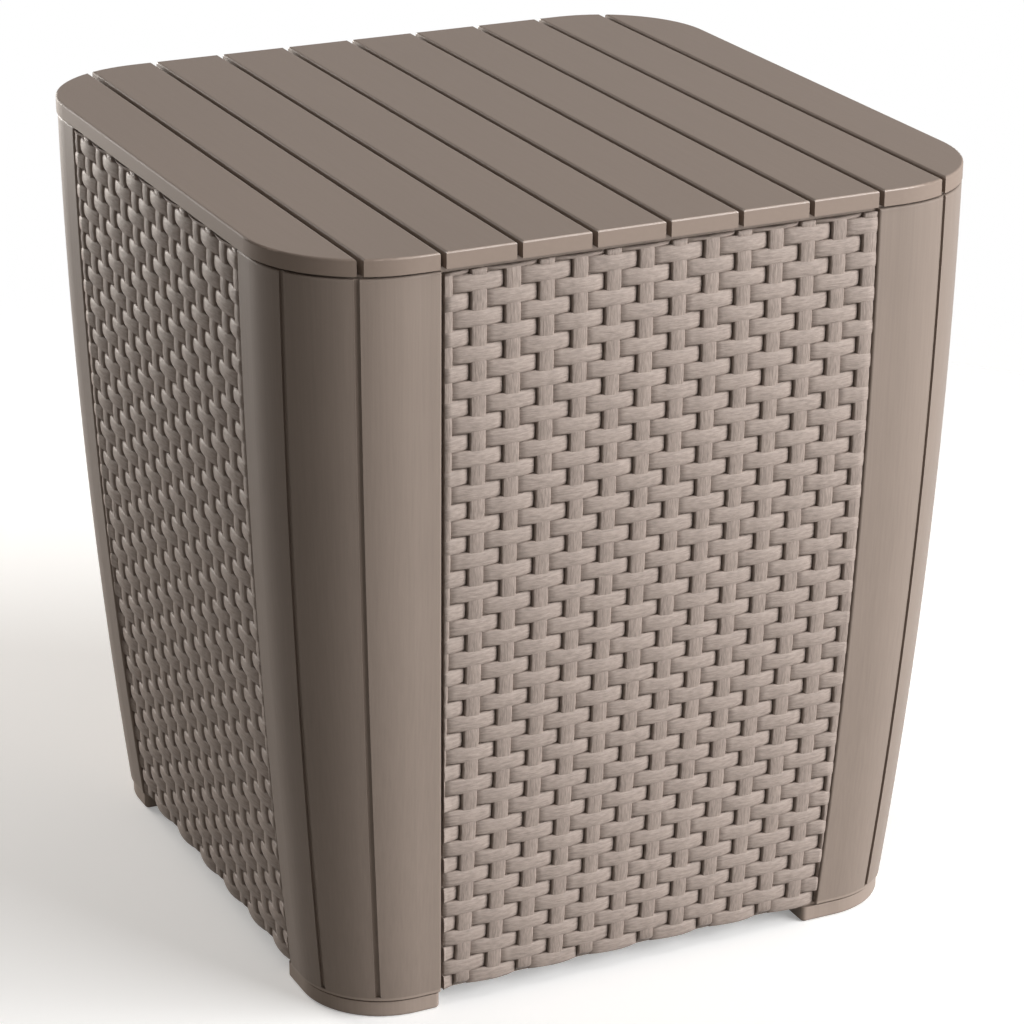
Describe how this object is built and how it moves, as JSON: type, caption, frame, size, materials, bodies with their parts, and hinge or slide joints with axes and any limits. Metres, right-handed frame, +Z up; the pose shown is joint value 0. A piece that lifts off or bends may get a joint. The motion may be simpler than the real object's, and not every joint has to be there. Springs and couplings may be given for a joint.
{
  "type": "storage table",
  "caption": "Square outdoor storage table in taupe resin, with woven-look sides between rounded corner posts, low feet and a slatted lift-off lid over an open store.",
  "frame": {"origin": "on the ground under the middle of the table, level with the feet's soles", "axes": "+Z up, +X to the right along the front, +Y from the front to the back; the planks run along Y"},
  "size_m": [0.412, 0.412, 0.441],
  "materials": {
    "post_resin": "matte taupe, fine grain",
    "woven_resin": "matte taupe, moulded as woven strands with fine streaks",
    "foot_resin": "matte taupe",
    "inner_resin": "matte taupe, plain inner faces",
    "deck_resin": "matte taupe, faint grain along the planks",
    "screw_steel": "zinc plated"
  },
  "bodies": {
    "body": {"post_back_right": "post_resin", "post_back_left": "post_resin", "post_front_left": "post_resin", "post_front_right": "post_resin", "panel_back": "woven_resin", "panel_left": "woven_resin", "panel_front": "woven_resin", "panel_right": "woven_resin", "foot_back_right": "foot_resin", "foot_back_left": "foot_resin", "foot_front_left": "foot_resin", "foot_front_right": "foot_resin", "floor_panel": "inner_resin", "foot_screws": "screw_steel"},
    "lid": {"lid_tray": "inner_resin", "plank_01": "deck_resin", "plank_02": "deck_resin", "plank_03": "deck_resin", "plank_04": "deck_resin", "plank_05": "deck_resin", "plank_06": "deck_resin", "plank_07": "deck_resin", "plank_08": "deck_resin", "plank_09": "deck_resin", "plank_10": "deck_resin", "plank_screws": "screw_steel"}
  },
  "joints": [
    {"name": "lid_lift", "type": "slide", "parent": "body", "child": "lid", "axis": [0, 0, 1], "range_m": [0, 0.25]}
  ]
}
